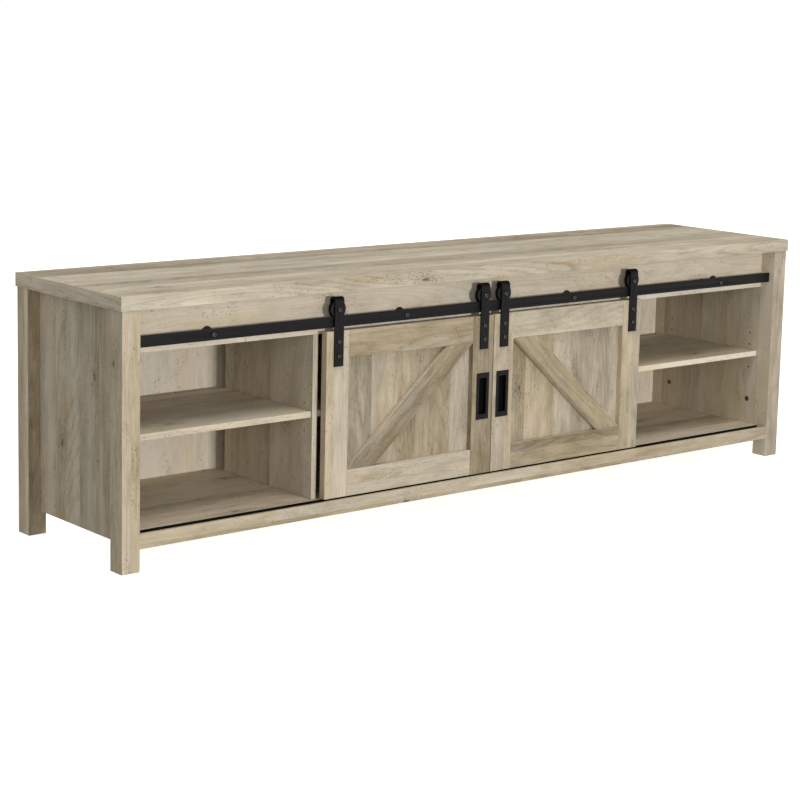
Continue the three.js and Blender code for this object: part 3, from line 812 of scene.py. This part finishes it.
def add_panel_screws():
    """The dark heads of the screws that hold each side panel to its legs."""
    loops = socket_head(PANEL_SCREW_RADIUS, -PANEL_SCREW_PROUD, 0.0,
                        PANEL_SCREW_SOCKET_DEPTH, PANEL_SCREW_SOCKET)
    loops += [circle(PANEL_SCREW_SHANK, 0.0), circle(PANEL_SCREW_SHANK, PANEL_SCREW_REACH)]
    for end, side in (("left", -1.0), ("right", 1.0)):
        low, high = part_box("side_panel_" + end)
        inner = high.x if side < 0.0 else low.x
        screws = bmesh.new()
        for y in (-PANEL_SCREW_COLUMN, PANEL_SCREW_COLUMN):
            place = Vector((inner, y, PANEL_SCREW_HEIGHT))
            join_into(screws, turned_along_x(loops, place, side))
        mark_edges(screws, [])
        place_piece(screws, "panel_screws_" + end, "cabinet", BRONZE, smooth=True)


NAIL_RADIUS = 1.7 * MM
NAIL_PITCH = 148.0 * MM
NAIL_INSET = 7.0 * MM


def nail_places():
    """Points round the rim of the back panel, and down its lines of nails at the dividers."""
    low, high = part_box("back_panel")
    inset = (X + Z) * NAIL_INSET
    low, high = low + inset, high - inset
    columns = [sum(corner.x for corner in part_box("divider_" + end)) / 2.0
               for end in ("left", "right")]
    across = round((high.x - low.x) / NAIL_PITCH)
    up = round((high.z - low.z) / NAIL_PITCH)
    for i in range(across + 1):
        x = low.x + (high.x - low.x) * i / across
        yield x, low.z
        yield x, high.z
    for x in [low.x, high.x] + columns:
        for i in range(1, up):
            yield x, low.z + (high.z - low.z) * i / up


def add_nails():
    """The small flat heads of the nails that hold the back panel on."""
    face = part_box("back_panel")[1].y
    profile = [(0.9 * MM, -2.0 * MM), (0.9 * MM, -0.1 * MM), (NAIL_RADIUS - 0.1 * MM, -0.1 * MM),
               (NAIL_RADIUS, 0.0), (NAIL_RADIUS, 0.25 * MM), (NAIL_RADIUS - 0.25 * MM, 0.45 * MM)]
    loops = [circle(radius, y) for radius, y in profile]
    nails = bmesh.new()
    for x, z in nail_places():
        nail = loft(loops)
        bmesh.ops.translate(nail, verts=nail.verts, vec=Vector((x, face, z)))
        join_into(nails, nail)
    mark_edges(nails, [])
    place_piece(nails, "back_panel_nails", "cabinet", NICKEL, smooth=True)


# ---- Studio ------------------------------------------------------------------

FLOOR_REACH = 60.0  # from the middle of the floor to its edges
FLOOR_DROP = 0.2 * MM
GLOW_NEAR, GLOW_FAR = (1.2, 0.74), (6.0, 0.95)  # distance from the middle, and how bright
WHITE = (1.0, 1.0, 1.0, 1.0)


def add_floor():
    """A pale floor that gives off a little light, more of it far from the stand, so that
    it has no visible end."""
    bm = bmesh.new()
    bmesh.ops.create_grid(bm, x_segments=1, y_segments=1, size=FLOOR_REACH)
    mesh = bpy.data.meshes.new("studio_floor")
    bm.to_mesh(mesh)
    bm.free()
    g = Graph("studio_white")
    place = g.node("TexCoord").outputs["Object"]
    faint = g.noise(place, scale=3.0, detail=3.0)
    colour = g.mix(faint, linear(246, 246, 246), linear(250, 250, 249))
    material = g.finish(colour, 0.85, faint, 0.01 * MM, Specular_IOR_Level=0.1)
    away = g.node("VectorMath", {0: place}, operation="LENGTH").outputs["Value"]
    shader = material.node_tree.nodes["Principled BSDF"]
    shader.inputs["Emission Color"].default_value = WHITE
    glow = g.step(away, GLOW_NEAR[0], GLOW_FAR[0], GLOW_NEAR[1], GLOW_FAR[1])
    g.feed(shader.inputs["Emission Strength"], glow)
    mesh.materials.append(material)
    floor = bpy.data.objects.new("studio_floor", mesh)
    bpy.context.scene.collection.objects.link(floor)
    floor.location.z = -FLOOR_DROP
    floor.visible_diffuse = False  # it stays white without throwing its light up


# Name, azimuth and elevation in degrees, distance and size in metres, watts, colour.
LAMPS = (
    ("key", 0.0, 6.0, 20.0, 1.6, 2060.0, (1.0, 1.0, 1.0)),
    ("fill", -40.0, 12.0, 5.0, 2.0, 40.0, (1.0, 0.99, 0.96)),
    ("overhead", 0.0, 66.0, 4.0, 1.6, 68.0, (1.0, 0.995, 0.98)),
    ("behind", 200.0, 30.0, 5.0, 2.5, 50.0, (1.0, 0.995, 0.98)),
)
LAMP_AIM = Vector((0.0, 0.0, 0.25))


def add_lamp(name, azimuth, elevation, distance, size, watts, colour):
    """A square lamp that faces the stand. Azimuth 0 is in front and 90 to the right."""
    data = bpy.data.lights.new(name, "AREA")
    data.shape = "SQUARE"
    data.size = size
    data.energy = watts
    data.color = colour
    lamp = bpy.data.objects.new(name, data)
    a, e = math.radians(azimuth), math.radians(elevation)
    back = Vector((math.sin(a) * math.cos(e), -math.cos(a) * math.cos(e), math.sin(e)))
    lamp.location = LAMP_AIM + back * distance
    lamp.rotation_mode = "QUATERNION"
    lamp.rotation_quaternion = (-back).to_track_quat("-Z", "Y")
    bpy.context.scene.collection.objects.link(lamp)


ROOM_STRENGTH = 0.46
ROOM_COLOUR = (1.0, 0.985, 0.93)


def add_world():
    """A faintly warm room that looks white to the camera itself."""
    world = bpy.data.worlds.new("studio")
    bpy.context.scene.world = world
    world.use_nodes = True
    nodes, links = world.node_tree.nodes, world.node_tree.links
    seen = nodes.new("ShaderNodeMix")
    seen.data_type = "RGBA"
    seen.inputs["A"].default_value = [ROOM_STRENGTH * part for part in ROOM_COLOUR] + [1.0]
    seen.inputs["B"].default_value = WHITE
    rays = nodes.new("ShaderNodeLightPath")
    links.new(rays.outputs["Is Camera Ray"], seen.inputs["Factor"])
    links.new(seen.outputs["Result"], nodes["Background"].inputs["Color"])


# ---- Build -------------------------------------------------------------------

add_camera()
add_boards_and_metal()
add_turned()
add_shelf_pins()
add_panel_screws()
add_nails()
add_floor()
for lamp in LAMPS:
    add_lamp(*lamp)
add_world()
bpy.context.scene.view_settings.view_transform = "Standard"
